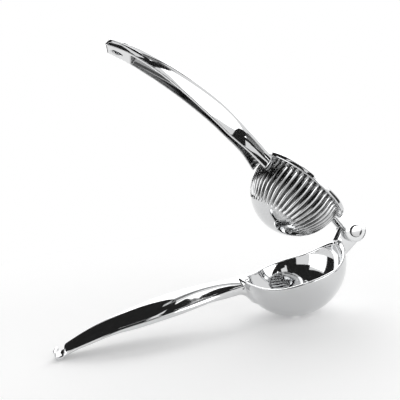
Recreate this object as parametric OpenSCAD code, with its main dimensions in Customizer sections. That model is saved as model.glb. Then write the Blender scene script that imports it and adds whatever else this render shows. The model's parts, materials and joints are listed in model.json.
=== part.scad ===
// Hinged lemon squeezer, drawn open with its lower arm resting on the table.
// The bowl takes half a lemon, the ribbed dome on the upper arm presses it,
// and one rivet through lug and ears joins the two castings.
// Both castings are drawn around the rivet as origin and then laid in place.

/* [Bowl] */
// outside diameter of the round bowl
bowl_d = 70; // [60:1:84]
// wall of the bowl
bowl_wall = 2.2; // [1.6:0.1:3.2]
// how far the sides of the rim dip below its two ends
rim_dip = 7.8; // [3:0.2:9]
// half of the level stretch in the middle of each side
rim_flat = 15; // [8:0.5:18]
// rim ends above the centre of the bowl
rim_rise = 0.8; // [0:0.1:3]
// diameter of one juice hole
hole_d = 4.2; // [2.5:0.1:6]
// juice holes in the ring around the middle one
hole_count = 6; // [4:1:8]
// radius of that ring
hole_ring = 9.5; // [7.5:0.5:13]

/* [Lower handle] */
// centre of the bowl to the middle of the tip lip
low_len = 153.8; // [130:1:180]
// half of the greatest width
low_half = 14.6; // [11:0.2:18]
// half of the neck beside the bowl
low_neck = 7.6; // [6:0.2:9]
// half of the width at the tip
low_tip = 6.6; // [5:0.2:9]
// height of the crown above the centre of the bowl
low_top = 6.4; // [4:0.2:8]
// radius of the long curve of the crown
low_sweep = 232; // [180:5:320]
// wall of the handle
low_wall = 2.8; // [2:0.1:4]
// height of the small lip at the tip
lip_h = 5.6; // [3:0.2:8]
// thickness of that lip
lip_t = 2.3; // [1.5:0.1:3.5]

/* [Upper handle] */
// centre of the dome to the end of the tip
up_len = 146.6; // [126:1:172]
// half of the greatest width
up_half = 12.2; // [10:0.2:15]
// half of the neck beside the dome
up_neck = 6.7; // [6:0.1:9]
// height of the crown above the centre of the dome
up_top = 16.5; // [13:0.1:18]
// radius of the long curve of the crown
up_sweep = 210; // [170:5:280]
// wall of the handle
up_wall = 2.6; // [2:0.1:3.6]
// how far the handle leans down from the plane of the collar
up_lean = 3.8; // [0:0.1:6]
// length of the solid pad at the tip
pad_len = 16; // [13:0.5:24]
// diameter of the hanging hole
hang_d = 7; // [4:0.2:8]
// end of the tip to the middle of the hanging hole
hang_in = 6.9; // [6:0.1:9]

/* [Press dome] */
// gap all round between dome and bowl with the arms closed
peel_gap = 3.95; // [3:0.05:6]
// wall of the dome
dome_wall = 2.4; // [1.8:0.1:3.2]
// number of ribs round the dome
rib_count = 48; // [36:2:60]
// depth of the grooves between the ribs
groove_depth = 1.0; // [0.5:0.1:1.3]
// width of a groove
groove_w = 1.5; // [0.8:0.1:1.8]
// angle of the smooth cap at the pole
cap_angle = 40; // [30:1:50]
// thickness of the collar above the dome
collar_t = 2.9; // [2:0.1:4]
// how far the collar stands out from the dome
collar_out = 2.6; // [1.5:0.1:4]

/* [Hinge] */
// centre of the bowl to the rivet, along the rim
hinge_reach = 45.6; // [44:0.2:54]
// height of the rivet above the centre of the bowl
hinge_rise = 4.4; // [2:0.2:8]
// thickness of the lug of the lower arm
lug_t = 5.6; // [4:0.2:8]
// radius of the round end of the lug
lug_r = 7.6; // [6:0.2:9]
// thickness of one ear of the upper arm
ear_t = 3.6; // [2.5:0.1:5]
// radius of the round end of the ears
ear_r = 7.2; // [6:0.2:9]
// free space between lug and ear on each side
side_gap = 0.3; // [0.2:0.05:0.6]
// diameter of the rivet shank
pin_d = 5; // [4:0.1:6]
// diametral play of the shank in the lug
pin_play = 0.1; // [0.06:0.02:0.2]
// diameter of the formed head
head_d = 8; // [7:0.2:9.6]
// height of the formed head
head_h = 1.3; // [0.8:0.1:2]

/* [Pose] */
// angle between collar and bowl rim with the arms open
open_angle = 58.3; // [30:0.1:120]

/* [Hidden] */
$fn = 96;
bowl_r = bowl_d / 2;
bowl_in = bowl_r - bowl_wall;
dome_r = bowl_in - peel_gap;
dome_in = dome_r - dome_wall;
// the dome centre comes down almost onto the bowl centre
dome_lift = -0.3;
dome_reach = hinge_reach - 0.4;
dome_rise = hinge_rise - dome_lift;
collar_z = 4.3;
collar_r = dome_r + collar_out;
clevis_half = lug_t / 2 + side_gap + ear_t;
neck_z = -7.4;
root_fillet = 12;
tip_z = -7;
tip_round = 0.8;
lip_top = tip_z + lip_h - 0.6;
// the lower arm rests on the bowl and on the outer edge of the lip
rest_x = low_len + lip_t / 2 - tip_round;
rest_tilt = asin(bowl_r / norm([rest_x, tip_z])) + atan(tip_z / rest_x);
hinge_x = hinge_reach * cos(rest_tilt) - hinge_rise * sin(rest_tilt);
hinge_z = bowl_r + hinge_reach * sin(rest_tilt) + hinge_rise * cos(rest_tilt);
left_x = -(low_len + lip_t / 2) * cos(rest_tilt) - lip_top * sin(rest_tilt);
bowl_x = -(left_x + hinge_x + lug_r) / 2;

function ease(t) = t <= 0 ? 0 : t >= 1 ? 1 : t * t * (3 - 2 * t);

// plan and side curves of the lower handle, x measured from the bowl centre
function low_mid() = 97 / 153.8 * low_len;
function low_end() = low_len - 5.8;
function low_w(x) = -x < low_mid()
    ? low_neck + (low_half - low_neck) * ease((-x - 40) / (low_mid() - 40))
    : low_half - (low_half - low_tip) * pow((-x - low_mid()) / (low_end() - low_mid()), 2);
function low_crown(x) = low_top - pow(x + 88 / 153.8 * low_len, 2) / (2 * low_sweep)
    + 0.7 * ease((-x - 105) / 30);
function low_edge(x) = let(a = 112 / 153.8 * low_len)
    -x < a ? -2.9 + 3.1 * ease((-x - 50) / (a - 50)) : 0.2 - 4.2 * pow((-x - a) / (low_end() - a), 1.3);
function low_skirt(x) = 2.7 + 0.5 * ease((-x - 50) / 30) - 1.5 * ease((-x - 100) / 25)
    - 0.6 * ease((-x - 125) / 20) + 1.8 * ease((x + 60) / 18);
function low_open(x) = 1 - 0.96 * ease((-x - (low_end() - 22)) / 12);
function low_under(x) = low_edge(x) - low_skirt(x);

// plan and side curves of the upper handle, x measured from the dome centre
function up_mid() = 121 / 146.6 * up_len;
function up_w(x) = -x < 60
    ? up_neck + 3.4 * pow((60 + x) / 20, 2)
    : -x < up_mid()
        ? up_neck + (up_half - up_neck) * ease((-x - 60) / (up_mid() - 60))
        : up_half - 4.6 * pow((-x - up_mid()) / (up_len - up_mid()), 2);
function up_crown(x) = up_top + x * tan(up_lean)
    - pow(x + 82, 2) / (2 * (x < -82 ? up_sweep : 0.9 * up_sweep))
    - 0.8 * ease((x + 74) / 24) - 0.5 * ease((-x - up_len + 14) / 14);
function up_edge(x) = 4.4 + x * tan(up_lean) - pow(x + 92, 2) / (2 * 232)
    + 1.9 * ease((-x - 75) / 65) + 1.5 * ease((x + 60) / 22)
    - 0.8 * ease((-x - up_len + 14) / 14);

// one cross-section of a handle shell: the outer crown, then the inner crown,
// both listed from the near edge to the far edge
function crown_rise(s, power) = power == 2 ? 1 - s * s : sqrt(max(0, 1 - s * s));
function shell_ring(x, w, low, top, skirt, wall, open, power) = let(n = 18, m = n + 2) concat(
    [[x, w, low - skirt]],
    [for (i = [0 : n]) let(s = cos(180 * i / n))
        [x, w * s, low + (top - low) * crown_rise(s, power)]],
    [[x, -w, low - skirt]],
    [for (i = [0 : m]) let(s = cos(180 * i / m))
        [x, (w - wall) * s,
            low - skirt + max(0.1, (top - wall - low + skirt) * open) * crown_rise(s, power)]]);

// skin over a row of cross-sections, with a strip of facets closing each end
module loft(rings) {
    n = len(rings[0]) / 2;
    rows = [for (k = [0 : len(rings) - 2]) 2 * n * k];
    last = (len(rings) - 1) * 2 * n;
    outer = [for (a = rows) for (i = [a : a + n - 2])
        each [[i, i + 2 * n + 1, i + 2 * n], [i, i + 1, i + 2 * n + 1]]];
    inner = [for (a = rows) for (i = [a + n : a + 2 * n - 2])
        each [[i, i + 2 * n, i + 2 * n + 1], [i, i + 2 * n + 1, i + 1]]];
    near = [for (a = rows)
        each [[a, a + 3 * n, a + n], [a, a + 2 * n, a + 3 * n]]];
    far = [for (a = rows) let(i = a + n - 1)
        each [[i, i + n, i + 3 * n], [i, i + 3 * n, i + 2 * n]]];
    first_end = [for (i = [0 : n - 2])
        each [[i, i + 1 + n, i + 1], [i, i + n, i + 1 + n]]];
    last_end = [for (i = [last : last + n - 2])
        each [[i, i + 1, i + 1 + n], [i, i + 1 + n, i + n]]];
    polyhedron(
        points = [for (r = rings) for (p = r) p],
        faces = concat(outer, inner, near, far, first_end, last_end),
        convexity = 8);
}

// everything below is drawn with the bowl or dome centre as origin
module low_shell() {
    steps = 30;
    loft([for (k = [0 : steps]) let(x = -31 - (low_end() - 31) * k / steps)
        shell_ring(x, low_w(x), low_edge(x), low_crown(x), low_skirt(x),
            low_wall, low_open(x), 2)]);
}

// side view of the tip: sole, shelf and upturned lip
module low_tip_side() {
    inner = -low_len + lip_t / 2;
    outer = -low_len - lip_t / 2;
    sole = -low_len + 14;
    shelf_z = -4.4;
    polygon([
        [sole, low_under(sole) + 0.1],
        [sole, low_under(sole) + 1.2],
        [-low_len + 7, shelf_z],
        [inner + 0.8, shelf_z - 0.5],
        [inner, shelf_z + 0.1],
        [inner, lip_top],
        [inner - 0.6, tip_z + lip_h],
        [outer + 0.6, tip_z + lip_h],
        [outer, lip_top],
        [outer, tip_z + 1],
        [outer + tip_round, tip_z],
        [-low_len + 3.5, tip_z + 0.2]]);
}

module low_tip_block() {
    intersection() {
        translate([0, low_half, 0])
            rotate([90, 0, 0])
                linear_extrude(2 * low_half)
                    low_tip_side();
        translate([0, 0, tip_z - 1])
            linear_extrude(12)
                union() {
                    polygon([
                        [-low_len + 18, -low_tip - 2.6],
                        [-low_len + 18, low_tip + 2.6],
                        [-low_len + 5, low_tip],
                        [-low_len + 5, -low_tip]]);
                    intersection() {
                        translate([-low_len + 7.4, 0])
                            circle(8.6);
                        translate([-low_len - 5, -low_tip])
                            square([14, 2 * low_tip]);
                    }
                }
    }
}

// side view of what is cut away above the rim: level in the middle, rising at both ends
module rim_side() {
    far = bowl_r - 0.5;
    run = far - rim_flat;
    arc = (run * run + rim_dip * rim_dip) / (2 * rim_dip);
    difference() {
        translate([-2 * bowl_r, rim_rise - rim_dip])
            square([4 * bowl_r, 3 * bowl_r]);
        for (side = [-1, 1])
            difference() {
                translate([side > 0 ? rim_flat : -2 * bowl_r, rim_rise - rim_dip - 1])
                    square([2 * bowl_r - rim_flat, rim_dip + 1]);
                translate([side * rim_flat, rim_rise - rim_dip + arc])
                    circle(arc, $fn = 180);
            }
    }
}

module bowl_shell() {
    difference() {
        sphere(bowl_r);
        translate([0, 1.5 * bowl_r, 0])
            rotate([90, 0, 0])
                linear_extrude(3 * bowl_r)
                    rim_side();
    }
}

// web that blends the neck into the bowl with a hollow round all along the ball
module low_root() {
    cz = neck_z - root_fillet;
    cx = sqrt(pow(bowl_r + root_fillet, 2) - cz * cz);
    reach = bowl_r / (bowl_r + root_fillet);
    web_half = low_neck - 0.2;
    intersection() {
        rotate_extrude()
            difference() {
                polygon([
                    [cx, cz],
                    [cx, neck_z + 3],
                    [bowl_in, neck_z + 3],
                    [cx * reach - 1.5, cz * reach + 0.8]]);
                translate([cx, cz])
                    circle(root_fillet);
            }
        translate([-2 * bowl_r, -web_half, -bowl_r])
            cube([2 * bowl_r, 2 * web_half, bowl_r]);
    }
}

// the end of the handle runs onto the rim as a short ledge
module low_ledge() {
    ledge_x = bowl_in - 3.4;
    ledge_half = low_neck - 1.2;
    translate([0, ledge_half, 0])
        rotate([90, 0, 0])
            linear_extrude(2 * ledge_half)
                polygon([
                    [-bowl_in - 1.4, rim_rise - 0.8],
                    [-ledge_x - 0.5, rim_rise - 0.9],
                    [-ledge_x, rim_rise - 1.4],
                    [-ledge_x, rim_rise - 2.6],
                    [-bowl_in + 1.2, rim_rise - 7],
                    [-bowl_in - 0.8, rim_rise - 9]]);
}

module lug_side() {
    low_a = 29;
    up_a = 44;
    union() {
        translate([hinge_reach, hinge_rise])
            circle(lug_r);
        polygon([
            [hinge_reach, hinge_rise],
            [hinge_reach - lug_r * sin(up_a), hinge_rise + lug_r * cos(up_a)],
            [bowl_in - 1.5, rim_rise - 0.4],
            [bowl_in - 5, rim_rise - 14.5],
            [hinge_reach + lug_r * sin(low_a), hinge_rise - lug_r * cos(low_a)]]);
    }
}

module lower_casting() {
    difference() {
        union() {
            difference() {
                union() {
                    bowl_shell();
                    low_shell();
                    low_tip_block();
                    low_root();
                    translate([0, lug_t / 2, 0])
                        rotate([90, 0, 0])
                            linear_extrude(lug_t)
                                lug_side();
                }
                sphere(bowl_in);
            }
            low_ledge();
        }
        translate([hinge_reach, 0, hinge_rise])
            rotate([90, 0, 0])
                cylinder(d = pin_d + pin_play, h = 2 * lug_t, center = true);
        translate([0, 0, -bowl_r - 1])
            cylinder(d = hole_d, h = bowl_r);
        for (i = [0 : hole_count - 1])
            rotate([0, 0, 360 / hole_count * (i + 0.5)])
                translate([hole_ring, 0, -bowl_r - 1])
                    cylinder(d = hole_d, h = bowl_r);
    }
}

module up_shell() {
    steps = 28;
    loft([for (k = [0 : steps]) let(x = -27.5 - (up_len - 27.5) * k / steps)
        shell_ring(x, up_w(x), up_edge(x), up_crown(x), 0.2,
            up_wall, 1, 1)]);
}

// solid pad at the tip, following the crown
module up_pad() {
    steps = 8;
    loft([for (k = [0 : steps]) let(x = -(up_len - pad_len) - pad_len * k / steps)
        shell_ring(x, up_w(x) - 0.01, up_edge(x), up_crown(x) - 0.01, 0.19,
            up_wall, 0, 1)]);
}

// one groove: a thin crescent slot that runs out at the edge of the smooth cap
module groove() {
    shift = groove_depth / cos(cap_angle);
    floor_r = norm([dome_r - groove_depth, shift]);
    translate([0, groove_w / 2, 0])
        rotate([90, 0, 0])
            linear_extrude(groove_w)
                difference() {
                    polygon([
                        [0, 0],
                        [2 * dome_r * sin(cap_angle - 4), -2 * dome_r * cos(cap_angle - 4)],
                        [2 * dome_r, -dome_r],
                        [2 * dome_r, collar_z + 1],
                        [dome_r / 2, collar_z + 1]]);
                    translate([0, -shift])
                        circle(floor_r, $fn = 180);
                }
}

module ear_side() {
    polygon([
        [dome_in + 1.2, collar_z + collar_t],
        [dome_reach - 6.2, collar_z + collar_t + 3.2],
        [dome_reach - 2.5, dome_rise + ear_r - 0.35],
        [dome_reach, dome_rise],
        [dome_reach - 6.1, dome_rise - 3.8],
        [dome_in + 3.2, 2.4],
        [dome_in + 1.2, 2.2]]);
    translate([dome_reach, dome_rise])
        circle(ear_r);
}

module ears() {
    for (side = [-1, 1])
        translate([0, side * (lug_t / 2 + side_gap + ear_t / 2) + ear_t / 2, 0])
            rotate([90, 0, 0])
                linear_extrude(ear_t)
                    ear_side();
}

module upper_casting() {
    difference() {
        union() {
            difference() {
                sphere(dome_r);
                translate([0, 0, collar_z + collar_t / 2 + dome_r])
                    cube(2 * dome_r, center = true);
                for (i = [0 : rib_count - 1])
                    rotate([0, 0, 360 / rib_count * (i + 0.5)])
                        groove();
            }
            translate([0, 0, collar_z])
                cylinder(r = collar_r, h = collar_t);
            up_shell();
            up_pad();
            ears();
        }
        // hollow back of the dome, open upwards
        sphere(dome_in);
        cylinder(r = dome_in, h = 3 * up_top);
        translate([dome_reach, 0, dome_rise])
            rotate([90, 0, 0])
                cylinder(d = pin_d, h = 3 * clevis_half, center = true);
        translate([-up_len + hang_in, 0, -up_top])
            cylinder(d = hang_d, h = 3 * up_top);
    }
}

// a casting laid in place: rivet axis first, then its own angle
module in_place(angle, reach, rise) {
    translate([bowl_x + hinge_x, 0, hinge_z])
        rotate([0, angle, 0])
            translate([-reach, 0, -rise])
                children();
}

module lower_arm() {
    color([0.78, 0.79, 0.80])
        in_place(-rest_tilt, hinge_reach, hinge_rise)
            lower_casting();
}

module upper_arm() {
    color([0.72, 0.73, 0.75])
        in_place(open_angle - rest_tilt, dome_reach, dome_rise)
            upper_casting();
}

module hinge_rivet() {
    color([0.60, 0.61, 0.63])
        translate([bowl_x + hinge_x, 0, hinge_z])
            rotate([90, 0, 0]) {
                cylinder(d = pin_d, h = 2 * clevis_half, center = true);
                translate([0, 0, clevis_half])
                    cylinder(d1 = head_d, d2 = head_d - 1.6, h = head_h);
                translate([0, 0, -clevis_half - head_h])
                    cylinder(d1 = head_d - 1.6, d2 = head_d, h = head_h);
            }
}

lower_arm();
upper_arm();
hinge_rivet();
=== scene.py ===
"""Hinged lemon squeezer: two polished castings, the rivet that joins them, and a small studio.

Lengths in the shape code are millimetres, measured from the centre of the bowl or of the press
dome; set_in_place() brings a finished skin into the frame, in metres.
"""
import json
import math
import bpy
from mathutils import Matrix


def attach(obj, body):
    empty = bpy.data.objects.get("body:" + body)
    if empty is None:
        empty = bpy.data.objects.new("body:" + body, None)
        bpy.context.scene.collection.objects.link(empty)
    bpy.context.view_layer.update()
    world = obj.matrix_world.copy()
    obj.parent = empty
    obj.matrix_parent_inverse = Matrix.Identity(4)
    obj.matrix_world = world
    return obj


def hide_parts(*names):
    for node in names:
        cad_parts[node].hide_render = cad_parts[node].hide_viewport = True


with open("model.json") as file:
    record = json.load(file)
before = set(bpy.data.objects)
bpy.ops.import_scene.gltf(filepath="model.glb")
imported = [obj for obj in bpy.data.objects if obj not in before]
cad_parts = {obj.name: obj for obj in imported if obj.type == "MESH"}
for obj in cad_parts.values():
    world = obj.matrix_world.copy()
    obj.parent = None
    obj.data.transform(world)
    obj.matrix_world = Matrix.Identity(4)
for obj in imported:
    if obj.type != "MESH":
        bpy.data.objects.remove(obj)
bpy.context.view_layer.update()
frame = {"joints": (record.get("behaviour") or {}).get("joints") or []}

from types import SimpleNamespace

import bmesh
import bpy
import numpy as np
from bpy.props import FloatProperty, FloatVectorProperty, IntProperty, PointerProperty
from mathutils import Matrix, Vector

bl_info = {
    "name": "Lemon squeezer",
    "version": (1, 0, 0),
    "blender": (4, 5, 0),
    "location": "3D View > Sidebar > Squeezer",
    "description": "Builds a hinged lemon squeezer of two cast arms, a rivet and a studio",
    "category": "Add Mesh",
}

HINGE = frame["joints"][0]
PIVOT = Vector(HINGE["pos_m"])


# ---------------------------------------------------------------- sizes and colours

class SqueezerBowl(bpy.types.PropertyGroup):
    diameter: FloatProperty(
        name="Diameter", description="Outside diameter of the round bowl",
        default=0.070, min=0.06, max=0.084, subtype="DISTANCE")
    wall: FloatProperty(
        name="Wall", description="Wall of the bowl",
        default=0.0022, min=0.0016, max=0.0032, subtype="DISTANCE")
    rim_dip: FloatProperty(
        name="Rim dip", description="How far the sides of the rim dip below its two ends",
        default=0.0078, min=0.003, max=0.009, subtype="DISTANCE")
    rim_flat: FloatProperty(
        name="Level stretch", description="Half of the level stretch in the middle of each side",
        default=0.015, min=0.008, max=0.018, subtype="DISTANCE")
    rim_rise: FloatProperty(
        name="Rim ends", description="Height of the rim ends above the centre of the bowl",
        default=0.0008, min=0.0, max=0.003, subtype="DISTANCE")
    hole: FloatProperty(
        name="Juice hole", description="Diameter of one juice hole",
        default=0.0042, min=0.0025, max=0.006, subtype="DISTANCE")
    hole_count: IntProperty(
        name="Holes in the ring", description="Juice holes in the ring round the middle one",
        default=6, min=4, max=8)
    hole_ring: FloatProperty(
        name="Hole ring", description="Radius of the ring of juice holes",
        default=0.0095, min=0.0075, max=0.013, subtype="DISTANCE")


class SqueezerLowerHandle(bpy.types.PropertyGroup):
    length: FloatProperty(
        name="Length", description="Centre of the bowl to the middle of the tip lip",
        default=0.1538, min=0.13, max=0.18, subtype="DISTANCE")
    half_width: FloatProperty(
        name="Half width", description="Half of the greatest width",
        default=0.0146, min=0.011, max=0.018, subtype="DISTANCE")
    neck: FloatProperty(
        name="Half neck", description="Half of the neck beside the bowl",
        default=0.0076, min=0.006, max=0.009, subtype="DISTANCE")
    tip: FloatProperty(
        name="Half tip", description="Half of the width at the tip",
        default=0.0066, min=0.005, max=0.009, subtype="DISTANCE")
    top: FloatProperty(
        name="Crown height", description="Crown above the centre of the bowl",
        default=0.0064, min=0.004, max=0.008, subtype="DISTANCE")
    sweep: FloatProperty(
        name="Crown sweep", description="Radius of the long curve of the crown",
        default=0.232, min=0.18, max=0.32, subtype="DISTANCE")
    wall: FloatProperty(
        name="Wall", description="Wall of the hollow handle",
        default=0.0028, min=0.002, max=0.004, subtype="DISTANCE")
    lip_height: FloatProperty(
        name="Lip height", description="Height of the small lip at the tip",
        default=0.0056, min=0.003, max=0.008, subtype="DISTANCE")
    lip: FloatProperty(
        name="Lip thickness", description="Thickness of the small lip at the tip",
        default=0.0023, min=0.0015, max=0.0035, subtype="DISTANCE")
    # Painted shade: how dark the channel under the handle is painted.
    channel_shade: FloatProperty(
        name="Channel shade", description="How dull the plate is in the channel underneath",
        default=0.5, min=0.0, max=1.0, subtype="FACTOR")


class SqueezerUpperHandle(bpy.types.PropertyGroup):
    length: FloatProperty(
        name="Length", description="Centre of the dome to the end of the tip",
        default=0.1466, min=0.126, max=0.172, subtype="DISTANCE")
    half_width: FloatProperty(
        name="Half width", description="Half of the greatest width",
        default=0.0122, min=0.01, max=0.015, subtype="DISTANCE")
    neck: FloatProperty(
        name="Half neck", description="Half of the neck beside the dome",
        default=0.0067, min=0.006, max=0.009, subtype="DISTANCE")
    top: FloatProperty(
        name="Crown height", description="Crown above the centre of the dome",
        default=0.0165, min=0.013, max=0.018, subtype="DISTANCE")
    sweep: FloatProperty(
        name="Crown sweep", description="Radius of the long curve of the crown",
        default=0.210, min=0.17, max=0.28, subtype="DISTANCE")
    wall: FloatProperty(
        name="Wall", description="Wall of the hollow handle",
        default=0.0026, min=0.002, max=0.0036, subtype="DISTANCE")
    lean: FloatProperty(
        name="Lean", description="How far the handle leans down from the plane of the collar",
        default=math.radians(3.8), min=0.0, max=0.11, subtype="ANGLE")
    pad: FloatProperty(
        name="Tip pad", description="Length of the solid pad at the tip",
        default=0.016, min=0.013, max=0.024, subtype="DISTANCE")
    hang_hole: FloatProperty(
        name="Hanging hole", description="Diameter of the hanging hole",
        default=0.007, min=0.004, max=0.008, subtype="DISTANCE")
    hang_in: FloatProperty(
        name="Hole inset", description="End of the tip to the middle of the hanging hole",
        default=0.0069, min=0.006, max=0.009, subtype="DISTANCE")
    # Painted shade: how dark the channel under the handle is painted.
    channel_shade: FloatProperty(
        name="Channel shade", description="How dull the plate is in the channel underneath",
        default=0.5, min=0.0, max=1.0, subtype="FACTOR")


class SqueezerDome(bpy.types.PropertyGroup):
    peel_gap: FloatProperty(
        name="Peel gap", description="Gap between dome and bowl with the arms closed",
        default=0.00395, min=0.003, max=0.006, subtype="DISTANCE")
    wall: FloatProperty(
        name="Wall", description="Wall of the dome",
        default=0.0024, min=0.0018, max=0.0032, subtype="DISTANCE")
    ribs: IntProperty(
        name="Ribs", description="Number of ribs round the dome",
        default=48, min=36, max=60)
    groove_depth: FloatProperty(
        name="Groove depth", description="Depth of the grooves between the ribs",
        default=0.0010, min=0.0005, max=0.0013, subtype="DISTANCE")
    groove: FloatProperty(
        name="Groove width", description="Width of a groove",
        default=0.0015, min=0.0008, max=0.0018, subtype="DISTANCE")
    # Painted shade: how dark the bottom of each groove is painted.
    groove_shade: FloatProperty(
        name="Groove shade", description="How dull the plate is at the bottom of a groove",
        default=1.0, min=0.0, max=1.0, subtype="FACTOR")
    cap: FloatProperty(
        name="Smooth cap", description="Angle of the smooth cap at the pole",
        default=math.radians(40), min=0.5, max=0.9, subtype="ANGLE")
    collar_height: FloatProperty(
        name="Collar height", description="Underside of the collar above the dome centre",
        default=0.0043, min=0.002, max=0.008, subtype="DISTANCE")
    collar: FloatProperty(
        name="Collar thickness", description="Thickness of the collar above the dome",
        default=0.0029, min=0.002, max=0.004, subtype="DISTANCE")
    collar_out: FloatProperty(
        name="Collar overhang", description="How far the collar stands out from the dome",
        default=0.0026, min=0.0015, max=0.004, subtype="DISTANCE")


class SqueezerHinge(bpy.types.PropertyGroup):
    reach: FloatProperty(
        name="Reach", description="Centre of the bowl to the rivet, along the rim",
        default=0.0456, min=0.044, max=0.054, subtype="DISTANCE")
    rise: FloatProperty(
        name="Rise", description="Height of the rivet above the centre of the bowl",
        default=0.0044, min=0.002, max=0.008, subtype="DISTANCE")
    dome_reach: FloatProperty(
        name="Dome reach", description="Centre of the dome to the rivet, along the collar",
        default=0.0452, min=0.044, max=0.054, subtype="DISTANCE")
    dome_rise: FloatProperty(
        name="Dome rise", description="Height of the rivet above the centre of the dome",
        default=0.0047, min=0.0, max=0.008, subtype="DISTANCE")
    lug: FloatProperty(
        name="Lug", description="Thickness of the lug of the lower arm",
        default=0.0056, min=0.004, max=0.008, subtype="DISTANCE")
    lug_radius: FloatProperty(
        name="Lug radius", description="Radius of the round end of the lug",
        default=0.0076, min=0.006, max=0.009, subtype="DISTANCE")
    ear: FloatProperty(
        name="Ear", description="Thickness of one ear of the upper arm",
        default=0.0036, min=0.0025, max=0.005, subtype="DISTANCE")
    ear_radius: FloatProperty(
        name="Ear radius", description="Radius of the round end of the ears",
        default=0.0072, min=0.006, max=0.009, subtype="DISTANCE")
    side_gap: FloatProperty(
        name="Side gap", description="Free space between lug and ear",
        default=0.0003, min=0.0002, max=0.0006, subtype="DISTANCE")
    pin: FloatProperty(
        name="Rivet shank", description="Diameter of the rivet shank",
        default=0.005, min=0.004, max=0.006, subtype="DISTANCE")
    pin_play: FloatProperty(
        name="Play", description="Diametral play of the shank in the lug",
        default=0.0001, min=0.00006, max=0.0002, subtype="DISTANCE")
    head: FloatProperty(
        name="Rivet head", description="Diameter of the formed head",
        default=0.008, min=0.007, max=0.0096, subtype="DISTANCE")
    head_height: FloatProperty(
        name="Head height", description="Height of the formed head",
        default=0.0013, min=0.0008, max=0.002, subtype="DISTANCE")
    lower_angle: FloatProperty(
        name="Lower arm angle", description="Slope of the lower arm as it stands on the table",
        default=math.radians(-10.51), subtype="ANGLE")
    upper_angle: FloatProperty(
        name="Upper arm angle", description="Slope of the opened upper arm",
        default=math.radians(47.79), subtype="ANGLE")


class SqueezerFinish(bpy.types.PropertyGroup):
    chrome: FloatVectorProperty(
        name="Chrome", description="Colour of the polished plating",
        default=(0.66, 0.665, 0.67), size=3, min=0, max=1, subtype="COLOR")
    steel: FloatVectorProperty(
        name="Rivet steel", description="Colour of the rivet",
        default=(0.60, 0.60, 0.605), size=3, min=0, max=1, subtype="COLOR")
    # Painted shade: the near-black colour painted into the dome's grooves, the channels under the
    # handles and round the rim of each rivet head.
    painted_shade: FloatVectorProperty(
        name="Painted shade", description="Colour of the plating where buffing does not reach",
        default=(0.04, 0.04, 0.04), size=3, min=0, max=1, subtype="COLOR")
    # Extra roughness where the shade is painted.
    shade_haze: FloatProperty(
        name="Shade haze", description="Extra roughness where buffing does not reach",
        default=0.16, min=0.0, max=0.6, subtype="FACTOR")
    polish: FloatProperty(
        name="Roughness", description="Roughness of the well polished plating",
        default=0.03, min=0.01, max=0.4, subtype="FACTOR")
    haze: FloatProperty(
        name="Haze", description="Extra roughness where the plating has been handled",
        default=0.05, min=0.0, max=0.4, subtype="FACTOR")
    ripple: FloatProperty(
        name="Ripple", description="Strength of the waviness left by casting and buffing",
        default=0.05, min=0.0, max=1.0, subtype="FACTOR")


class SqueezerStudio(bpy.types.PropertyGroup):
    floor: FloatVectorProperty(
        name="Floor", description="Colour of the pale floor",
        default=(0.90, 0.90, 0.90), size=3, min=0, max=1, subtype="COLOR")
    lift: FloatProperty(
        name="Floor lift", description="White added to the floor where it is seen or mirrored",
        default=0.18, min=0.0, max=1.0, subtype="FACTOR")
    fill: FloatProperty(
        name="Fill light", description="Strength of the even light from all round",
        default=0.42, min=0.0, max=1.0, subtype="FACTOR")
    panel: FloatProperty(
        name="Panel brightness", description="Brightness of the soft panels, 1 is white",
        default=1.35, min=0.0, max=5.0)


class SqueezerSettings(bpy.types.PropertyGroup):
    bowl: PointerProperty(
        type=SqueezerBowl, name="Bowl", description="Sizes of the bowl")
    lower: PointerProperty(
        type=SqueezerLowerHandle, name="Lower handle", description="Sizes of the lower handle")
    upper: PointerProperty(
        type=SqueezerUpperHandle, name="Upper handle", description="Sizes of the upper handle")
    dome: PointerProperty(
        type=SqueezerDome, name="Press dome", description="Sizes of the press dome")
    hinge: PointerProperty(
        type=SqueezerHinge, name="Hinge", description="Sizes of the hinge")
    finish: PointerProperty(
        type=SqueezerFinish, name="Finish", description="Colours and polish of the metal")
    studio: PointerProperty(
        type=SqueezerStudio, name="Studio", description="Floor and lamps")


def in_millimetres(group):
    """The values of a property group, with every length turned into millimetres."""
    values = {}
    for prop in group.bl_rna.properties:
        if prop.identifier in ("rna_type", "name"):
            continue
        value = getattr(group, prop.identifier)
        values[prop.identifier] = value * 1000 if prop.unit == "LENGTH" else value
    return SimpleNamespace(**values)


# ---------------------------------------------------------------- shaping with distances
# A solid is a function of x, y and z that is negative inside the metal.

def ease(t):
    """Soft step from 0 to 1."""
    t = np.clip(t, 0.0, 1.0)
    return t * t * (3.0 - 2.0 * t)


def ramp(place, start, run):
    """Soft step from 0 at start to 1 a run further on."""
    return ease((place - start) / run)


def join(a, b, r):
    """Both solids, with a hollow round of size r between them."""
    near = np.maximum(r - np.abs(a - b), 0.0)
    return np.minimum(a, b) - near * near / (4.0 * r)


def common(a, b, r):
    """What two solids share, with the edge between them rounded by r."""
    near = np.maximum(r - np.abs(a - b), 0.0)
    return np.maximum(a, b) + near * near / (4.0 * r)


def cut(a, b, r):
    """The first solid less the second, with the new edge rounded by r."""
    return common(a, -b, r)


def outline(u, v, corners):
    """Distance to a closed outline of straight edges."""
    nearest = np.full(np.broadcast(u, v).shape, 1e9, np.float32)
    inside = np.zeros(nearest.shape, bool)
    for (au, av), (bu, bv) in zip(corners, corners[1:] + corners[:1]):
        eu, ev = bu - au, bv - av
        wu, wv = u - au, v - av
        t = np.clip((wu * eu + wv * ev) / (eu * eu + ev * ev), 0.0, 1.0)
        nearest = np.minimum(nearest, (wu - t * eu) ** 2 + (wv - t * ev) ** 2)
        if ev:
            inside ^= ((v < av) != (v < bv)) & (wu < eu * wv / ev)
    return np.where(inside, -1.0, 1.0) * np.sqrt(nearest)


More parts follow.
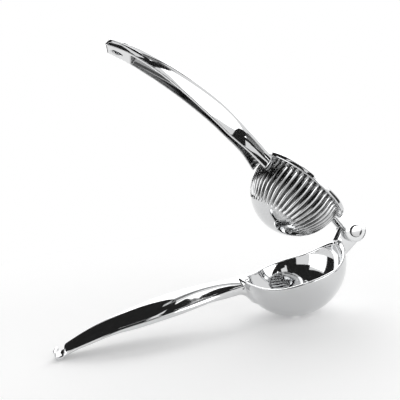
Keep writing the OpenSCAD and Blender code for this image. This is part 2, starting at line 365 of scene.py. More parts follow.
def arch(side, up, half, height, square):
    """Distance to a half arch; square is 2 for an ellipse and more for flatter flanks."""
    u, v = side / half, up / height
    ring = (u ** square + v ** square) ** (1 / square) + 1e-6
    slope = np.hypot(u ** (square - 1) / half, v ** (square - 1) / height) * ring ** (1 - square)
    return (ring - 1) / np.maximum(slope, 0.5 / half)


def parabola(side, up, half, height, reach=np.inf):
    """Distance to a parabolic crown with its feet at half, level past reach times half."""
    over = up - height * (1 - np.minimum(side / half, reach) ** 2)
    return over / np.sqrt(1 + (2 * height * side / half ** 2) ** 2)


def handle_shell(side, z, half, edge, crown, skirt, wall, roof, square):
    """Outside of a handle, and the channel inside it that is open underneath.

    square 0 gives a parabolic crown with a crease along each side, otherwise it is an arch.
    """
    inner = half - wall
    up = z - edge
    lift = np.maximum(up + skirt, 0.0)
    rise = np.maximum(0.1, (crown - wall - edge + skirt) * roof)
    if square:
        shell = arch(side, np.maximum(up, 0.0), half, crown - edge, square)
        hollow = arch(side, lift, inner, rise, square)
    else:
        shell = common(parabola(side, up, half, crown - edge), side - half, 0.9)
        hollow = common(parabola(side, lift, inner, rise, 1.2), side - inner, 0.8)
    return common(shell, edge - skirt - z, 0.7), hollow


def near_wall(distance):
    """1 up to 0.3 mm from the wall of a hollow, 0 from 0.9 mm, and a soft step between."""
    reach, step = 0.9, 0.6
    return ease((reach - np.abs(distance)) / step)


def lower_arm_solid(bowl, arm, hinge):
    """Bowl, lower handle with its tip lip, and the lug that carries the rivet.

    Returns the solid, and how much shade is painted on it, from 0 to 1.
    """
    radius = bowl.diameter / 2
    inside = radius - bowl.wall
    top = bowl.rim_rise
    # stations along the handle, from the centre of the bowl
    stretch = arm.length / 153.8
    neck_end, crest, widest, edge_peak = 40, 88 * stretch, 97 * stretch, 112 * stretch
    shell_start, shell_end = 26, arm.length - 5.8
    tip_z = -7.0
    run = radius - 0.5 - bowl.rim_flat
    arc = (run * run + bowl.rim_dip ** 2) / (2 * bowl.rim_dip)

    def rim(x):
        """Height of the rim: level in the middle of each side, then an arc up to the end."""
        past = np.clip(np.abs(x) - bowl.rim_flat, 0.0, run)
        return top - bowl.rim_dip + arc - np.sqrt(arc * arc - past * past)

    def handle_at(x, side, z):
        """Outside of the handle and the channel inside it."""
        along = -x
        swell = arm.neck + (arm.half_width - arm.neck) * ramp(along, neck_end, widest - neck_end)
        to_tip = (along - widest) / (shell_end - widest)
        taper = arm.half_width - (arm.half_width - arm.tip) * to_tip ** 2
        half = np.maximum(np.where(along < widest, swell, taper), 3.0)
        # the crown is one long arc that lifts a little towards the tip
        crown = arm.top - (along - crest) ** 2 / (2 * arm.sweep) + 0.7 * ramp(along, 105, 30)
        # its lower edge climbs to its peak and falls from there to the tip
        fall = (np.maximum(along - edge_peak, 0.0) / (shell_end - edge_peak)) ** 1.3
        edge = np.where(
            along < edge_peak, -2.9 + 3.1 * ramp(along, 50, edge_peak - 50), 0.2 - 4.2 * fall)
        # the side walls hang deepest at the neck, and the channel closes before the tip
        skirt = (2.7 + 0.5 * ramp(along, 50, 30) - 1.5 * ramp(along, 100, 25)
                 - 0.6 * ramp(along, 125, 20) + 1.8 * ramp(x, -60, 18))
        roof = 1 - 0.96 * ramp(along, shell_end - 22, 12)
        shell, hollow = handle_shell(
            side, z, half, edge, crown, skirt, arm.wall, roof, square=0)
        return shell, np.maximum(hollow, x + radius - 1.0)

    def painted_shade(x, y, z):
        """Painted shade in the channel under the handle."""
        hollow = handle_at(x, np.abs(y), z)[1]
        return arm.channel_shade * near_wall(hollow) * (x < 2 - radius)

    def solid(x, y, z):
        side = np.abs(y)
        ball = np.sqrt(x * x + y * y + z * z)
        body = common(ball - radius, z - rim(x), 0.9)

        shell, hollow = handle_at(x, side, z)
        shell = common(shell, x + shell_start, 1.0)
        shell = common(shell, -x - shell_end, 1.6)
        handle = cut(shell, hollow, 0.8)

        # web under the neck, a hollow round that follows the ball
        web_round, web_top, web_foot = 12.0, -4.4, -7.4
        web_z = web_foot - web_round
        web_x = math.sqrt((radius + web_round) ** 2 - web_z ** 2)
        out = np.hypot(x, y)
        above = (z * web_x - web_z * out) / math.hypot(web_x, web_z)
        web = np.maximum(np.maximum(out - web_x, z - web_top), -above)
        web = np.maximum(web, web_round - np.hypot(out - web_x, z - web_z))
        web = common(np.maximum(web, x + 10), side - arm.neck + 0.2, 1.2)
        handle = join(handle, web, 0.8)

        # sole, shelf and upturned lip at the tip
        far, lip, bevel = -arm.length, arm.lip / 2, 0.6
        lip_top = tip_z + arm.lip_height
        block = outline(x, z, [
            (far + 14, -3.8), (far + 14, -2.7), (far + 7, -4.4), (far + lip + 0.8, -4.9),
            (far + lip, -4.3), (far + lip, lip_top - bevel), (far + lip - bevel, lip_top),
            (far - lip + bevel, lip_top), (far - lip, lip_top - bevel), (far - lip, tip_z + 1.0),
            (far - lip + 0.8, tip_z), (far + 3.5, tip_z + 0.2)])
        flare = np.clip(x - far - 5, 0.0, 13.0) * 0.2
        nose_x, nose_round = far + 7.4, 8.6
        nose = np.where(x < nose_x, np.hypot(x - nose_x, y) - nose_round, -9.0)
        block = common(block, common(side - arm.tip - flare, nose, 1.0), 0.7)
        handle = join(handle, block, 0.8)
        body = join(body, handle, 1.2 + 3.5 * ease((-z - 2.0) / 8))

        # lug for the rivet
        low_a, up_a = math.radians(29), math.radians(44)
        r, pin_x, pin_z = hinge.lug_radius, hinge.reach, hinge.rise
        from_pin = np.hypot(x - pin_x, z - pin_z)
        cheek = outline(x, z, [
            (pin_x, pin_z), (pin_x - r * math.sin(up_a), pin_z + r * math.cos(up_a)),
            (inside - 1.5, top - 0.4), (inside - 5.0, top - 14.5),
            (pin_x + r * math.sin(low_a), pin_z - r * math.cos(low_a))])
        cheek = np.minimum(cheek, from_pin - r)
        body = join(body, common(cheek, side - hinge.lug / 2, 0.9), 1.6)

        # the bowl is scooped out, the handle end runs onto its rim as a ledge
        body = cut(body, ball - inside, 0.8)
        ledge_x = inside - 3.4
        ledge = outline(x, z, [
            (-inside - 1.4, top - 0.8), (-ledge_x - 0.5, top - 0.9), (-ledge_x, top - 1.4),
            (-ledge_x, top - 2.6), (-inside + 1.2, top - 7), (-inside - 0.8, top - 9)])
        ledge = common(ledge, side - arm.neck + 1.2, 1.0)
        body = join(body, ledge, 1.2)

        # juice holes in the bottom, and the bore of the rivet
        turns = [2 * math.pi * (i + 0.5) / bowl.hole_count for i in range(bowl.hole_count)]
        spots = [(0.0, 0.0)] + [
            (bowl.hole_ring * math.cos(a), bowl.hole_ring * math.sin(a)) for a in turns]
        bores = np.min([np.hypot(x - u, y - v) for u, v in spots], axis=0) - bowl.hole / 2
        body = cut(body, np.maximum(bores, z + 10), 0.6)
        return cut(body, from_pin - (hinge.pin + hinge.pin_play) / 2, 0.5)

    return solid, painted_shade


def upper_arm_solid(bowl, arm, dome, hinge):
    """Ribbed press dome with its collar, upper handle with hanging hole, and the two ears.

    Returns the solid, and how much shade is painted on it, from 0 to 1.
    """
    ball_r = bowl.diameter / 2 - bowl.wall - dome.peel_gap
    inside = ball_r - dome.wall
    collar_r = ball_r + dome.collar_out
    # stations along the handle, from the centre of the dome
    neck_end, crest, widest = 60, 82, 121 / 146.6 * arm.length
    shell_start = 27.5
    pitch = 2 * math.pi / dome.ribs
    plate_z = dome.collar_height + dome.collar / 2

    def grooves(x, y, z):
        """1 in the grooves, which run from the collar to the smooth cap, and 0 on the ribs."""
        turn = np.mod(np.arctan2(y, x) / pitch, 1.0) - 0.5
        polar = np.arctan2(np.hypot(x, y), -z)
        sharpness, fade = 3.9 / dome.groove, 0.22
        return np.cos(math.pi * turn) ** sharpness * ramp(polar, dome.cap, fade)

    def handle_at(x, side, z):
        """Outside of the handle and the channel inside it."""
        along = -x
        flare = arm.neck + 3.4 * ((neck_end - along) / 20) ** 2
        swell = arm.neck + (arm.half_width - arm.neck) * ramp(along, neck_end, widest - neck_end)
        taper = arm.half_width - 4.6 * ((along - widest) / (arm.length - widest)) ** 2
        half = np.where(along < neck_end, flare, np.where(along < widest, swell, taper))
        half = np.clip(half, 3.0, 20.0)
        # crown and lower edge lean with the handle and droop at its tip
        lean = x * math.tan(arm.lean)
        droop = ramp(along, arm.length - 14, 14)
        sweep = np.where(along > crest, arm.sweep, 0.9 * arm.sweep)
        crown = (arm.top + lean - (along - crest) ** 2 / (2 * sweep)
                 - 0.8 * ramp(x, -74, 24) - 0.5 * droop)
        edge = (4.4 + lean - (along - 92) ** 2 / (2 * 232) + 1.9 * ramp(along, 75, 65)
                + 1.5 * ramp(x, -60, 22) - 0.8 * droop)
        shell, hollow = handle_shell(
            side, z, half, edge, crown, skirt=0.2, wall=arm.wall, roof=1.0, square=2.8)
        return shell, common(hollow, -x - arm.length + arm.pad, 1.0)

    def painted_shade(x, y, z):
        """Painted shade in the grooves of the dome and in the channel under the handle."""
        ball = np.sqrt(x ** 2 + y ** 2 + z ** 2)
        hollow = handle_at(x, np.abs(y), z)[1]
        on_dome = (z < dome.collar_height + 0.2) & (np.abs(ball - ball_r + 0.4) < 0.9)
        in_channel = near_wall(hollow) * (x < -shell_start - 1.0)
        return np.maximum(
            dome.groove_shade * grooves(x, y, z) * on_dome, arm.channel_shade * in_channel)

    def solid(x, y, z):
        side = np.abs(y)
        across = np.hypot(x, y)
        ball = np.sqrt(across ** 2 + z * z)
        body = (ball - ball_r + dome.groove_depth * grooves(x, y, z)) * 0.8
        body = common(body, z - plate_z, 0.3)
        plate = common(np.abs(z - plate_z) - dome.collar / 2, across - collar_r, 1.0)
        body = join(body, plate, 0.7)

        shell, hollow = handle_at(x, side, z)
        shell = common(shell, x + shell_start, 1.0)
        shell = common(shell, -x - arm.length, 2.4)
        body = join(body, cut(shell, hollow, 0.8), 1.6)

        # ears on both sides of the lug
        r = hinge.ear_radius
        seat = dome.collar_height + dome.collar
        pin_x, pin_z = hinge.dome_reach, hinge.dome_rise
        from_pin = np.hypot(x - pin_x, z - pin_z)
        cheek = outline(x, z, [
            (inside + 1.2, seat), (pin_x - 6.2, seat + 3.2), (pin_x - 2.5, pin_z + r - 0.35),
            (pin_x, pin_z), (pin_x - 6.1, pin_z - 3.8), (inside + 3.2, 2.4), (inside + 1.2, 2.2)])
        cheek = np.minimum(cheek, from_pin - r)
        middle = hinge.lug / 2 + hinge.side_gap + hinge.ear / 2
        body = join(body, common(cheek, np.abs(side - middle) - hinge.ear / 2, 0.9), 1.0)

        # hollow back of the dome, rivet hole and hanging hole
        well = np.minimum(ball - inside, np.maximum(across - inside, -z))
        body = cut(body, well, 0.7)
        body = cut(body, from_pin - hinge.pin / 2, 0.5)
        hang = np.hypot(x + arm.length - arm.hang_in, y) - arm.hang_hole / 2
        return cut(body, hang, 0.7)

    return solid, painted_shade


# ---------------------------------------------------------------- from solid to skin

def skin(solid, low, high, cell):
    """Closed quad skin of a solid that is the same on both sides of the plane y = 0.

    The solid is sampled on a grid, one point is set in every cell that the surface crosses, and
    the points are then pulled onto the surface itself. Returns points, quads and normals.
    """
    axes = [np.arange(a, b + cell, cell, dtype=np.float32) for a, b in zip(low, high)]
    half = np.arange(cell / 2, high[1] + cell, cell, dtype=np.float32)
    axes[1] = np.concatenate([-half[::-1], half])
    field = np.empty([len(a) for a in axes], np.float32)
    depth = 24  # rows sampled at a time, to spare memory
    for start in range(0, len(axes[0]), depth):
        rows = slice(start, start + depth)
        slab = solid(axes[0][rows, None, None], half[None, :, None], axes[2][None, None, :])
        field[rows, len(half):] = slab
        field[rows, :len(half)] = slab[:, ::-1]
    cells = [n - 1 for n in field.shape]
    total = np.zeros((math.prod(cells), 3))
    hits = np.zeros(len(total))
    quads = []
    for axis in range(3):
        first = field[tuple(slice(None, -1) if k == axis else slice(None) for k in range(3))]
        second = field[tuple(slice(1, None) if k == axis else slice(None) for k in range(3))]
        crossed = np.argwhere((first < 0) != (second < 0))
        a = first[tuple(crossed.T)]
        b = second[tuple(crossed.T)]
        point = crossed.astype(float)
        point[:, axis] += a / (a - b)
        u, v = (axis + 1) % 3, (axis + 2) % 3
        ring = []
        for du, dv in ((0, 0), (-1, 0), (-1, -1), (0, -1)):
            corner = crossed.copy()
            corner[:, u] += du
            corner[:, v] += dv
            index = np.ravel_multi_index(tuple(corner.T), cells)
            ring.append(index)
            for k in range(3):
                total[:, k] += np.bincount(index, point[:, k], len(total))
            hits += np.bincount(index, minlength=len(hits))
        ring = np.stack(ring, 1)
        ring[b < 0] = ring[b < 0][:, ::-1]
        quads.append(ring)
    used = np.flatnonzero(hits)
    points = total[used] / hits[used, None]
    origin = np.array([a[0] for a in axes], float)
    points = origin + points * cell
    lookup = np.zeros(len(hits), np.int64)
    lookup[used] = np.arange(len(used))
    quads = lookup[np.concatenate(quads)]
    points, normals = settle(solid, points, quads, cell)
    return points, quads, normals


def slope_of(solid, points, h=0.04):
    """Gradient of the distance at each point."""
    grads = []
    for axis in range(3):
        ahead, behind = points.copy(), points.copy()
        ahead[:, axis] += h
        behind[:, axis] -= h
        grads.append((solid(*ahead.T) - solid(*behind.T)) / (2 * h))
    return np.stack(grads, 1)


def settle(solid, points, quads, cell):
    """Evens out the points and pulls them onto the surface."""
    rounds, even_rounds, share = 4, 2, 0.6
    edges = np.concatenate([quads[:, [k, (k + 1) % 4]] for k in range(4)])
    count = np.bincount(edges[:, 0], minlength=len(points))[:, None]
    for turn in range(rounds):
        if turn < even_rounds:
            mean = np.stack([
                np.bincount(edges[:, 0], points[edges[:, 1], k], len(points))
                for k in range(3)], 1) / count
            points = points + share * (mean - points)
        grad = slope_of(solid, points)
        push = solid(*points.T)[:, None] * grad / np.maximum((grad ** 2).sum(1), 0.2)[:, None]
        size = np.linalg.norm(push, axis=1, keepdims=True) + 1e-9
        points = points - push * np.minimum(1.0, share * cell / size)
    grad = slope_of(solid, points, 0.08)
    return points, grad / (np.linalg.norm(grad, axis=1, keepdims=True) + 1e-9)


def add_object(name, data):
    """A new object in the scene."""
    made = bpy.data.objects.new(name, data)
    bpy.context.scene.collection.objects.link(made)
    return made


def mesh_from(name, form):
    """Turns a finished bmesh into a mesh."""
    mesh = bpy.data.meshes.new(name)
    form.to_mesh(mesh)
    form.free()
    return mesh


def set_painted_shade(mesh, shade):
    """Keeps with the mesh how much shade is painted at each point."""
    layer = mesh.attributes.new("painted_shade", "FLOAT", "POINT")
    layer.data.foreach_set("value", np.asarray(shade, np.float32))


def set_in_place(name, skin_parts, painted_shade, angle, reach, rise, body, slot, material, *nodes):
    """Turns a skin about the rivet, makes it a smooth mesh and lets it stand for its nodes."""
    points, quads, normals = skin_parts
    turn = np.array(Matrix.Rotation(angle, 3, "Y"))
    placed = (points - [reach, 0, rise]) @ turn.T / 1000 + np.array(PIVOT)
    mesh = bpy.data.meshes.new(name)
    mesh.vertices.add(len(placed))
    mesh.vertices.foreach_set("co", placed.astype(np.float32).ravel())
    mesh.loops.add(quads.size)
    mesh.loops.foreach_set("vertex_index", quads.astype(np.int32).ravel())
    mesh.polygons.add(len(quads))
    mesh.polygons.foreach_set("loop_start", np.arange(0, quads.size, 4, dtype=np.int32))
    mesh.update(calc_edges=True)
    mesh.polygons.foreach_set("use_smooth", np.ones(len(quads), bool))
    mesh.normals_split_custom_set_from_vertices((normals @ turn.T).tolist())
    # how much shade is painted at each point
    set_painted_shade(mesh, painted_shade(*points.T))
    mesh.materials.append(material)
    piece = add_object(name, mesh)
    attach(piece, body)
    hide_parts(*nodes)


def rivet_profile(hinge):
    """Radius and height of each corner of the rivet's section, from one head to the other."""
    outer = hinge.lug / 2 + hinge.side_gap + hinge.ear
    shank, head, rise = hinge.pin / 2, hinge.head / 2, hinge.head_height
    # rise of the head's top, round of its shoulder, straight side under it, steps of each round
    dome, shoulder, foot, steps = 0.12, 0.9, 0.25, 4
    corners = [
        ((head - shoulder) * i / steps, outer + rise - dome * (i / steps) ** 2)
        for i in range(steps)]
    for i in range(steps + 1):
        a = math.pi / 2 * i / steps
        corners.append((
            head - shoulder + shoulder * math.sin(a),
            outer + foot + (rise - dome - foot) * math.cos(a)))
    corners += [(head, outer + 0.1), (head - 0.1, outer), (shank + 0.15, outer),
                (shank, outer - 0.15)]
    return corners + [(r, -s) for r, s in reversed(corners)]


def turned_mesh(name, profile, sides):
    """Turns a profile in millimetres round the y axis."""
    form = bmesh.new()
    rings = []
    for r, s in profile:
        count = sides if r else 1
        turns = [2 * math.pi * i / count for i in range(count)]
        rings.append([form.verts.new((
            r / 1000 * math.cos(a), s / 1000, r / 1000 * math.sin(a))) for a in turns])
    for a, b in zip(rings, rings[1:]):
        for i in range(sides):
            j = (i + 1) % sides
            corners = [a[i % len(a)], a[j % len(a)], b[j % len(b)], b[i % len(b)]]
            form.faces.new(list(dict.fromkeys(corners)))
    bmesh.ops.recalc_face_normals(form, faces=form.faces)
    for face in form.faces:
        face.smooth = True
    return mesh_from(name, form)


# ---------------------------------------------------------------- finish

def add_node(tree, kind, inputs, **settings):
    """A new node. Each input is a number, a colour or the socket that feeds it."""
    node = tree.nodes.new(kind)
    for name, value in settings.items():
        setattr(node, name, value)
    for name, value in inputs.items():
        if isinstance(value, bpy.types.NodeSocket):
            tree.links.new(value, node.inputs[name])
        else:
            node.inputs[name].default_value = value
    return node


def buffed_surface_and_shade():
    """Node group: the ripple of a buffed casting, haze from handling, and painted shade, which is
    also rougher.
    """
    name = "buffed_surface_and_shade"
    if name in bpy.data.node_groups:
        return bpy.data.node_groups[name]
    group = bpy.data.node_groups.new(name, "ShaderNodeTree")
    face = group.interface
    for kind, sockets in (
            ("Color", ("Color", "Shade Color")),
            ("Float", ("Polish", "Haze", "Shade Haze", "Ripple Scale"))):
        for socket in sockets:
            face.new_socket(name=socket, in_out="INPUT", socket_type="NodeSocket" + kind)
    face.new_socket(name="Color", in_out="OUTPUT", socket_type="NodeSocketColor")
    for socket in ("Roughness", "Height"):
        face.new_socket(name=socket, in_out="OUTPUT", socket_type="NodeSocketFloat")
    given = group.nodes.new("NodeGroupInput").outputs
    where = group.nodes.new("ShaderNodeTexCoord").outputs["Object"]
    # how much shade is painted at each point, near black in the grooves, the channels and round the
    # rivet heads
    painted_shade = add_node(group, "ShaderNodeAttribute", {}, attribute_name="painted_shade").outputs["Fac"]

    # ripple of the casting, and the haze of places that are handled
    ripple = add_node(group, "ShaderNodeTexNoise", {
        "Vector": where, "Scale": given["Ripple Scale"], "Detail": 2.0, "Roughness": 0.45})
    smear = add_node(group, "ShaderNodeTexNoise", {
        "Vector": where, "Scale": 28.0, "Detail": 5.0, "Distortion": 0.6})
    handled = add_node(group, "ShaderNodeMapRange", {
        "Value": smear.outputs["Fac"], "From Min": 0.48, "From Max": 0.72})
    buffed = add_node(group, "ShaderNodeMath", {
        0: handled.outputs["Result"], 1: given["Haze"], 2: given["Polish"]},
        operation="MULTIPLY_ADD")
    rough = add_node(group, "ShaderNodeMath", {
        0: painted_shade, 1: given["Shade Haze"], 2: buffed.outputs[0]}, operation="MULTIPLY_ADD")

    # the ripple shades the metal by less than one percent, and the painted shade takes its own dark
    # colour
    shade = add_node(group, "ShaderNodeMapRange", {
        "Value": ripple.outputs["Fac"], "To Min": 0.9928, "To Max": 1.0})
    tone = add_node(group, "ShaderNodeVectorMath", {
        "Vector": given["Color"], "Scale": shade.outputs["Result"]}, operation="SCALE")
    shaded = add_node(group, "ShaderNodeMix", {
        "Factor": painted_shade, "A": tone.outputs["Vector"], "B": given["Shade Color"]},
        data_type="RGBA")
    add_node(group, "NodeGroupOutput", {
        "Color": shaded.outputs["Result"], "Roughness": rough.outputs[0],
        "Height": ripple.outputs["Fac"]})
    return group


def metal(name, colour, finish, ripple_scale, coarse=1.0):
    """Plated or plain metal with its own ripple and the painted shade of its mesh; coarse 1 is the
    polish of the castings.
    """
    material = bpy.data.materials.new(name)
    material.use_nodes = True
    tree = material.node_tree
    shader = tree.nodes["Principled BSDF"]
    shader.inputs["Metallic"].default_value = 1.0
    surface = add_node(tree, "ShaderNodeGroup", {
        "Color": [*colour, 1.0], "Shade Color": [*finish.painted_shade, 1.0],
        "Polish": finish.polish * coarse, "Haze": finish.haze, "Shade Haze": finish.shade_haze,
        "Ripple Scale": ripple_scale}, node_tree=buffed_surface_and_shade()).outputs
    bump = add_node(tree, "ShaderNodeBump", {
        "Strength": finish.ripple, "Distance": 0.001, "Height": surface["Height"]})
    tree.links.new(surface["Color"], shader.inputs["Base Color"])
    tree.links.new(surface["Roughness"], shader.inputs["Roughness"])
    tree.links.new(bump.outputs["Normal"], shader.inputs["Normal"])
    return material


# ---------------------------------------------------------------- operators

class SQUEEZER_OT_lower_arm(bpy.types.Operator):
    """Build the lower arm: bowl, handle, tip lip and lug"""
    bl_idname = "squeezer.lower_arm"
    bl_label = "Lower arm"

    def execute(self, context):
        sizes = context.scene.squeezer
        bowl, arm, hinge = (
            in_millimetres(g) for g in (sizes.bowl, sizes.lower, sizes.hinge))
        solid, painted_shade = lower_arm_solid(bowl, arm, hinge)
        side = bowl.diameter / 2 + 1
        hinge_end = hinge.lug_radius + 1
        cell = 0.55
        parts = skin(
            solid, (-arm.length - 3, -side, -side),
            (hinge.reach + hinge_end, side, hinge.rise + hinge_end), cell)
        if not len(parts[1]):
            raise RuntimeError("the lower arm has no surface")
        finish = sizes.finish
        set_in_place(
            "lower_arm_casting", parts, painted_shade, hinge.lower_angle, hinge.reach, hinge.rise,
            "lower", "lower_casting", metal("lower_chrome", finish.chrome, finish, 60.0),
            "lower_arm")
        return {"FINISHED"}


class SQUEEZER_OT_upper_arm(bpy.types.Operator):
    """Build the upper arm: ribbed dome, collar, handle and ears"""
    bl_idname = "squeezer.upper_arm"
    bl_label = "Upper arm"

    def execute(self, context):
        sizes = context.scene.squeezer
        bowl, arm, dome, hinge = (
            in_millimetres(g) for g in (sizes.bowl, sizes.upper, sizes.dome, sizes.hinge))
        solid, painted_shade = upper_arm_solid(bowl, arm, dome, hinge)
        collar_r = bowl.diameter / 2 - bowl.wall - dome.peel_gap + dome.collar_out
        cell = 0.5
        parts = skin(
            solid, (-arm.length - 1, -collar_r - 1, -collar_r),
            (hinge.dome_reach + hinge.ear_radius + 1, collar_r + 1, arm.top + 1), cell)
        if not len(parts[1]):
            raise RuntimeError("the upper arm has no surface")
        finish = sizes.finish
        set_in_place(
            "upper_arm_casting", parts, painted_shade, hinge.upper_angle, hinge.dome_reach, hinge.dome_rise,
            "upper", "upper_casting", metal("upper_chrome", finish.chrome, finish, 70.0),
            "upper_arm")
        return {"FINISHED"}


class SQUEEZER_OT_rivet(bpy.types.Operator):
    """Build the hinge rivet: a shank with a formed head at each end"""
    bl_idname = "squeezer.rivet"
    bl_label = "Rivet"

    def execute(self, context):
        sizes = context.scene.squeezer
        hinge = in_millimetres(sizes.hinge)
        mesh = turned_mesh("hinge_rivet_steel", rivet_profile(hinge), sides=64)
        if not mesh.polygons:
            raise RuntimeError("the rivet has no surface")
        # painted shade: a dark ring round the rim of each head
        head_edge, shade = hinge.head / 2 - 0.55, 0.95
        set_painted_shade(mesh, [
            shade * (math.hypot(v.co.x, v.co.z) * 1000 > head_edge) for v in mesh.vertices])
        mesh.transform(Matrix.Translation(PIVOT))
        mesh.materials.append(
            metal("rivet_steel", sizes.finish.steel, sizes.finish, 120.0, coarse=1.6))
        piece = add_object("hinge_rivet_steel", mesh)
        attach(piece, "upper")
        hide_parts("hinge_rivet")
        return {"FINISHED"}


class SQUEEZER_OT_studio(bpy.types.Operator):
    """Set up the floor, the white surroundings, the cloths, the lamps and the camera"""
    bl_idname = "squeezer.studio"
    bl_label = "Studio"

    def execute(self, context):
        scene = context.scene
        studio = scene.squeezer.studio
        make_floor(studio)
        make_surroundings(scene)
        make_flags("black_flags", BLACK_FLAGS, shade=0.012)
        make_flags("grey_flags", GREY_FLAGS, shade=0.30)
        make_table_cloth("left_table_cloth", LEFT_CLOTH, shade=0.20)
        make_table_cloth("right_table_cloth", RIGHT_CLOTH, shade=0.03)
        make_lamps(studio)
        make_camera(scene)
        scene.view_settings.view_transform = "Standard"
        return {"FINISHED"}


# ---------------------------------------------------------------- studio

MIDDLE = Vector((0.0, 0.0, 0.08))
FLOOR_RADIUS, FLOOR_Z = 3.6, -0.0002
# the floor is pale up to the first distance from the middle, and white from the second
FLOOR_FADE = (0.16, 0.6)
FLAG_DISTANCE = 3.0
PANEL_DISTANCE = 3.3
# each flag in degrees: its left and right edge, the lower edge at the left and at the right,
# then the upper edge at the left and at the right
BLACK_FLAGS = (
    (106, 154, -8, -8, 88, 88),
    (154, 200, 27, 32, 88, 88),
    (200, 250, 62, 62, 88, 88),
    (250, 284, 78, 78, 88, 88),
    (200, 262, 22, 22, 58, 58),
    (236, 267, 3, 3, 22, 22),
    (267, 278, 3, 11, 22, 28),
    (278, 288, 13, 19, 42, 42),
    (272, 276, 46, 38, 78, 78),
    (276, 283, 34, 38, 78, 78),
    (283, 293, 38, 56, 78, 78),
    (266, 288, 14, 19, 26, 31),
    (288, 315, 19, 37, 31, 46),
    (300, 360, 52, 53, 58, 57),
    (44, 66, 72, 58, 78, 64),
)
GREY_FLAGS = (
    (287, 330, 33, 42, 52, 52),
    (0, 22, 48, 44, 56, 52),
)
# corners of the two cloths on the table, in metres
LEFT_CLOTH = ((-1.5, -1.5), (0.05, -1.5), (0.03, -0.15), (-0.4, -0.15), (-1.5, -0.3))
RIGHT_CLOTH = (
    (0.215, -0.19), (0.30, -0.26), (0.42, -0.10), (0.40, 0.0), (0.16, -0.03), (0.16, -0.09))
# name, turn and rise of the middle, width and height of each panel, in degrees
PANELS = (
    ("front_right_panel", 314, 18, 48, 34),
    ("right_panel", 50, 34, 38, 50),
    ("back_panel", 86, 36, 36, 84),
    ("front_strip", 291, 38, 7, 84),
    ("left_window", 180, 9, 46, 34),
)
# place, target and size of the small panel in front of the hinge, in metres
HINGE_PANEL = (Vector((0.24, -0.30, 0.06)), Vector((0.094, 0, 0.048)), (0.24, 0.16))
# place and aim in metres, and how far the camera is rolled, in degrees
CAMERA_PLACE = Vector((-0.041910, -0.275859, 0.092542))
CAMERA_AIM = Vector((-0.001717, 0.0, 0.081267))
CAMERA_ROLL = -7.908


def seen_ray(tree):
    """1 for rays of the camera and for rays bent or mirrored by the object, 0 for the rest."""
    path = tree.nodes.new("ShaderNodeLightPath").outputs
    seen = path["Is Camera Ray"]
    for kind in ("Is Glossy Ray", "Is Transmission Ray"):
        either = add_node(tree, "ShaderNodeMath", {0: seen, 1: path[kind]}, operation="MAXIMUM")
        seen = either.outputs[0]
    return seen


def matt_material(name, colour):
    """A material without gloss. Returns it with its shader."""
    material = bpy.data.materials.new(name)
    material.use_nodes = True
    shader = material.node_tree.nodes["Principled BSDF"]
    shader.inputs["Base Color"].default_value = [*colour, 1.0]
    shader.inputs["Roughness"].default_value = 1.0
    return material, shader


def make_floor(studio):
    """Pale floor that turns into the white surroundings away from the object."""
    form = bmesh.new()
    bmesh.ops.create_circle(form, cap_ends=True, segments=96, radius=FLOOR_RADIUS)
    floor = add_object("studio_floor", mesh_from("studio_floor", form))
    floor.location.z = FLOOR_Z
    material, shader = matt_material("pale_floor", studio.floor)
    shader.inputs["Specular IOR Level"].default_value = 0.0
    tree = material.node_tree
    seen = seen_ray(tree)
    lift = add_node(tree, "ShaderNodeMath", {0: seen, 1: studio.lift}, operation="MULTIPLY")
    glow = add_node(tree, "ShaderNodeEmission", {"Strength": lift.outputs[0]})
    near = add_node(tree, "ShaderNodeAddShader", {0: shader.outputs[0], 1: glow.outputs[0]})
    where = tree.nodes.new("ShaderNodeTexCoord")
    away = add_node(
        tree, "ShaderNodeVectorMath", {0: where.outputs["Object"]}, operation="LENGTH")
    fade = add_node(tree, "ShaderNodeMapRange", {
        "Value": away.outputs["Value"], "From Min": FLOOR_FADE[0], "From Max": FLOOR_FADE[1]},
        interpolation_type="SMOOTHSTEP")
    seen_fade = add_node(
        tree, "ShaderNodeMath", {0: fade.outputs["Result"], 1: seen}, operation="MULTIPLY")
    white = tree.nodes.new("ShaderNodeEmission")
    mix = add_node(tree, "ShaderNodeMixShader", {
        0: seen_fade.outputs[0], 1: near.outputs[0], 2: white.outputs[0]})
    tree.links.new(mix.outputs[0], tree.nodes["Material Output"].inputs["Surface"])
    floor.data.materials.append(material)


def make_surroundings(scene):
    """White world for what is seen directly or mirrored, a gentler one for the light it gives."""
    world = bpy.data.worlds.new("white_studio")
    world.use_nodes = True
    scene.world = world
    tree = world.node_tree
    tree.nodes.clear()
    white, fill = (
        add_node(tree, "ShaderNodeBackground", {"Strength": strength, "Color": (1, 1, 1, 1)})
        for strength in (1.0, scene.squeezer.studio.fill))
    mix = add_node(tree, "ShaderNodeMixShader", {
        0: seen_ray(tree), 1: fill.outputs[0], 2: white.outputs[0]})
    add_node(tree, "ShaderNodeOutputWorld", {"Surface": mix.outputs[0]})


def toward(turn, rise):
    """Direction from the object: turn is measured from the hinge side, both in degrees."""
    a, b = math.radians(turn), math.radians(rise)
    return Vector((math.cos(a) * math.cos(b), math.sin(a) * math.cos(b), math.sin(b)))


def make_flags(name, edges, shade):
    """Cloths round the object, which only its polished metal sees."""
    rows, degrees_a_column = 12, 4
    form = bmesh.new()
    for left, right, low_left, low_right, high_left, high_right in edges:
        columns = max(2, round((right - left) / degrees_a_column))
        grid = []
        for i in range(columns + 1):
            t = i / columns
            turn = left + (right - left) * t
            low = low_left + (low_right - low_left) * t
            high = high_left + (high_right - high_left) * t
            grid.append([
                form.verts.new(
                    MIDDLE + FLAG_DISTANCE * toward(turn, low + (high - low) * j / rows))
                for j in range(rows + 1)])
        for a, b in zip(grid, grid[1:]):
            for j in range(rows):
                form.faces.new((a[j], b[j], b[j + 1], a[j + 1]))
    show_to_metal_only(name, form, shade)


def make_table_cloth(name, corners, shade):
    """Dark cloth lying on the table, which only the polished metal sees."""
    form = bmesh.new()
    form.faces.new([form.verts.new((x, y, 0.001)) for x, y in corners])
    show_to_metal_only(name, form, shade)


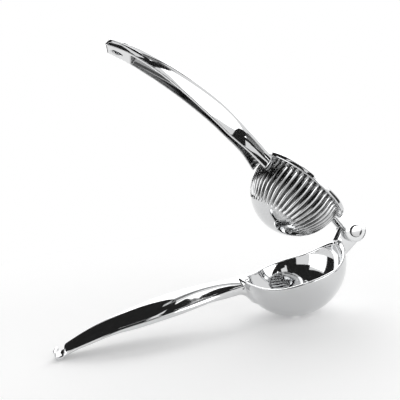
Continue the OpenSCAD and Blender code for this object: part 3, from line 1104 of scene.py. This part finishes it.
def show_to_metal_only(name, form, shade):
    """Puts a cloth in the studio that is seen in reflections alone."""
    cloth = add_object(name, mesh_from(name, form))
    cloth.visible_camera = cloth.visible_diffuse = cloth.visible_shadow = False
    cloth.data.materials.append(matt_material(name, (shade, shade, shade))[0])


def make_lamps(studio):
    """Soft panels, placed where the metal mirrors them."""
    for name, turn, rise, width, height in PANELS:
        size = [2 * PANEL_DISTANCE * math.tan(math.radians(a / 2)) for a in (width, height)]
        add_panel(name, MIDDLE + PANEL_DISTANCE * toward(turn, rise), MIDDLE, size, studio.panel)
    add_panel("hinge_panel", *HINGE_PANEL, studio.panel)


def add_panel(name, place, target, size, brightness):
    """One soft panel that faces its target."""
    lamp = bpy.data.lights.new(name, "AREA")
    lamp.shape = "RECTANGLE"
    lamp.size, lamp.size_y = size
    lamp.energy = brightness * math.pi * lamp.size * lamp.size_y
    panel = add_object(name, lamp)
    panel.location = place
    panel.rotation_mode = "QUATERNION"
    panel.rotation_quaternion = (target - place).to_track_quat("-Z", "Y")
    panel.visible_camera = False


def make_camera(scene):
    """Camera a little above the table, turned slightly clockwise."""
    data = bpy.data.cameras.new("studio_camera")
    data.lens, data.sensor_width = 40.5, 36.0
    data.clip_start = 0.01
    camera = add_object("studio_camera", data)
    camera.location = CAMERA_PLACE
    camera.rotation_mode = "QUATERNION"
    level = (CAMERA_AIM - CAMERA_PLACE).to_track_quat("-Z", "Y")
    roll = Matrix.Rotation(math.radians(CAMERA_ROLL), 3, "Z")
    camera.rotation_quaternion = level @ roll.to_quaternion()
    scene.camera = camera


# ---------------------------------------------------------------- panel and registration

class SQUEEZER_PT_panel(bpy.types.Panel):
    """Lists the sizes, the colours and the steps that build the squeezer"""
    bl_idname = "SQUEEZER_PT_panel"
    bl_label = "Lemon squeezer"
    bl_space_type = "VIEW_3D"
    bl_region_type = "UI"
    bl_category = "Squeezer"

    def draw(self, context):
        settings = context.scene.squeezer
        for step in STEPS:
            self.layout.operator(step.bl_idname)
        for group in settings.bl_rna.properties:
            if group.type != "POINTER" or group.identifier == "rna_type":
                continue
            box = self.layout.box()
            box.label(text=group.name)
            values = getattr(settings, group.identifier)
            for prop in values.bl_rna.properties:
                if prop.identifier not in ("rna_type", "name"):
                    box.prop(values, prop.identifier)


STEPS = (
    SQUEEZER_OT_lower_arm,
    SQUEEZER_OT_upper_arm,
    SQUEEZER_OT_rivet,
    SQUEEZER_OT_studio,
)
CLASSES = (
    SqueezerBowl,
    SqueezerLowerHandle,
    SqueezerUpperHandle,
    SqueezerDome,
    SqueezerHinge,
    SqueezerFinish,
    SqueezerStudio,
    SqueezerSettings,
    *STEPS,
    SQUEEZER_PT_panel,
)


def register():
    for cls in CLASSES:
        bpy.utils.register_class(cls)
    bpy.types.Scene.squeezer = PointerProperty(
        type=SqueezerSettings, name="Squeezer", description="Everything the squeezer is built from")


def unregister():
    del bpy.types.Scene.squeezer
    for cls in reversed(CLASSES):
        bpy.utils.unregister_class(cls)


def main():
    """Builds the squeezer and the studio."""
    register()
    bpy.ops.squeezer.lower_arm()
    bpy.ops.squeezer.upper_arm()
    bpy.ops.squeezer.rivet()
    bpy.ops.squeezer.studio()


if __name__ == "__main__":
    main()
